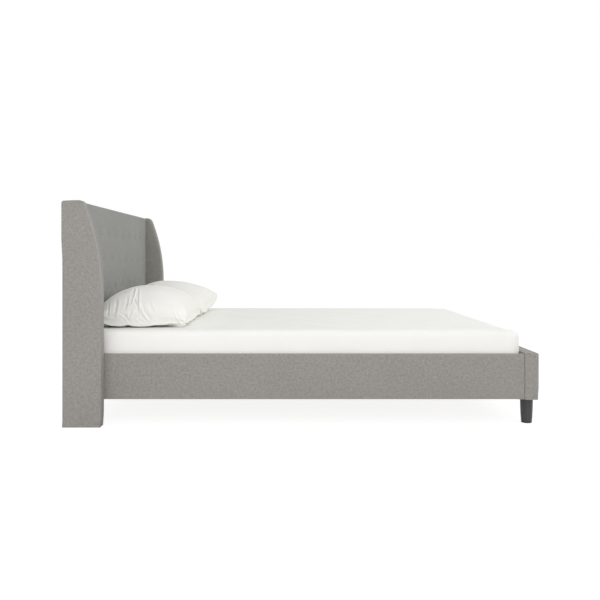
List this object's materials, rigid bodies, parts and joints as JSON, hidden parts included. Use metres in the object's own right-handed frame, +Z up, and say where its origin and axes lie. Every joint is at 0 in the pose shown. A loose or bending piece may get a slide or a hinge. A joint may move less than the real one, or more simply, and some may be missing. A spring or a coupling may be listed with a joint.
{
  "type": "upholstered bed",
  "caption": "Queen-size upholstered bed with a button-tufted headboard between curved wings, padded rails, a slatted base, a mattress and pillows.",
  "frame": {"origin": "on the floor, under the middle of the bed", "axes": "+X from the headboard to the foot, +Y to the bed's right as seen from its foot, +Z up"},
  "size_m": [2.158, 1.7, 1.023],
  "materials": {
    "linen": "matte",
    "pad_linen": "matte",
    "back_cloth": "matte",
    "pine": "matte",
    "plywood": "matte",
    "black_steel": "satin",
    "zinc": "satin",
    "charcoal_wood": "satin",
    "nylon": "matte",
    "webbing": "matte",
    "white_cotton": "matte",
    "ticking": "matte"
  },
  "bodies": {
    "frame": {"head_post_left": "pine", "head_post_right": "pine", "head_top_rail": "pine", "head_mid_rail": "pine", "head_bottom_rail": "pine", "head_face_board": "plywood", "head_back_cover": "back_cloth", "head_top_roll": "linen", "head_cushion": "pad_linen", "head_apron": "pad_linen", "tuft_buttons": "pad_linen", "wing_core_left": "plywood", "wing_core_right": "plywood", "wing_cover_left": "linen", "wing_cover_right": "linen", "wing_bolts": "zinc", "wing_glides": "nylon", "rail_board_left": "pine", "rail_board_right": "pine", "rail_cover_left": "linen", "rail_cover_right": "linen", "slat_ledge_left": "pine", "slat_ledge_right": "pine", "head_brackets": "black_steel", "foot_brackets": "black_steel", "bracket_bolts": "zinc", "foot_front_board": "pine", "foot_back_board": "pine", "foot_blocks": "pine", "foot_cover": "linen", "leg_left": "charcoal_wood", "leg_right": "charcoal_wood", "leg_studs": "zinc", "leg_glides": "nylon", "centre_beam": "pine", "beam_hangers": "black_steel", "centre_leg_1": "black_steel", "centre_leg_2": "black_steel", "centre_leg_3": "black_steel", "slat_01": "pine", "slat_02": "pine", "slat_03": "pine", "slat_04": "pine", "slat_05": "pine", "slat_06": "pine", "slat_07": "pine", "slat_08": "pine", "slat_09": "pine", "slat_10": "pine", "slat_11": "pine", "slat_12": "pine", "slat_straps": "webbing"},
    "mattress": {"mattress": "ticking", "fitted_sheet": "white_cotton"},
    "pillow_left": {"pillow_left": "white_cotton"},
    "pillow_right": {"pillow_right": "white_cotton"},
    "leveller_1": {"leveller_1": "nylon"},
    "leveller_2": {"leveller_2": "nylon"},
    "leveller_3": {"leveller_3": "nylon"}
  },
  "joints": [
    {"name": "mattress_lift", "type": "slide", "parent": "frame", "child": "mattress", "axis": [0, 0, 1], "range_m": [0, 0.3]},
    {"name": "pillow_left_lift", "type": "slide", "parent": "mattress", "child": "pillow_left", "axis": [0, 0, 1], "range_m": [0, 0.3]},
    {"name": "pillow_right_lift", "type": "slide", "parent": "mattress", "child": "pillow_right", "axis": [0, 0, 1], "range_m": [0, 0.3]},
    {"name": "leveller_1_screw", "type": "slide", "parent": "frame", "child": "leveller_1", "axis": [0, 0, 1], "range_m": [0, 0.015]},
    {"name": "leveller_2_screw", "type": "slide", "parent": "frame", "child": "leveller_2", "axis": [0, 0, 1], "range_m": [0, 0.015]},
    {"name": "leveller_3_screw", "type": "slide", "parent": "frame", "child": "leveller_3", "axis": [0, 0, 1], "range_m": [0, 0.015]}
  ]
}
